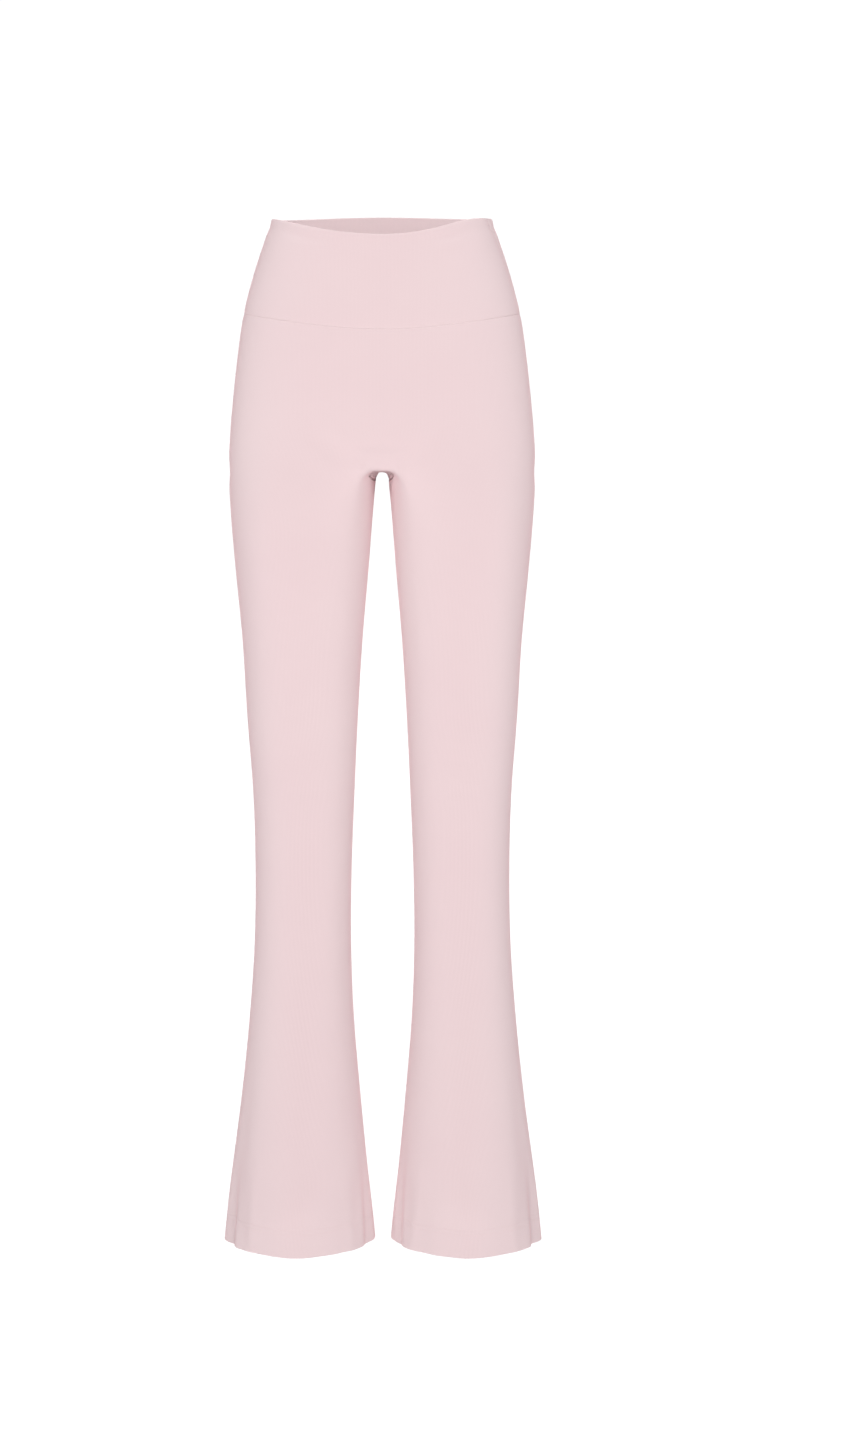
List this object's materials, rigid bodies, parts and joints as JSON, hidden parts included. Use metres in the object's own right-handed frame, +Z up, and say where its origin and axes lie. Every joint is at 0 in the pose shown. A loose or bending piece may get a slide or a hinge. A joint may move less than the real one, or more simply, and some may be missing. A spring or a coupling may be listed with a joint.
{
  "type": "flared yoga pants",
  "caption": "Flared full-length stretch pants with a wide folded waistband, standing hollow as if worn, open at the waist and hems.",
  "frame": {"origin": "middle of the waist opening, at the height of its sides", "axes": "+Z up, the front of the garment faces -Y, the wearer's left is +X"},
  "size_m": [0.3386, 0.2254, 1.0832],
  "materials": {
    "waistband_front": "matte pale pink stretch knit",
    "waistband_back": "matte pale pink stretch knit",
    "front": "matte pale pink stretch knit",
    "back_left": "matte pale pink stretch knit",
    "back_right": "matte pale pink stretch knit",
    "gusset": "matte pale pink stretch knit"
  },
  "bodies": {
    "root": {"waistband_front": "waistband_front", "waistband_back": "waistband_back", "front": "front", "back_left": "back_left", "back_right": "back_right", "gusset": "gusset"}
  },
  "joints": []
}
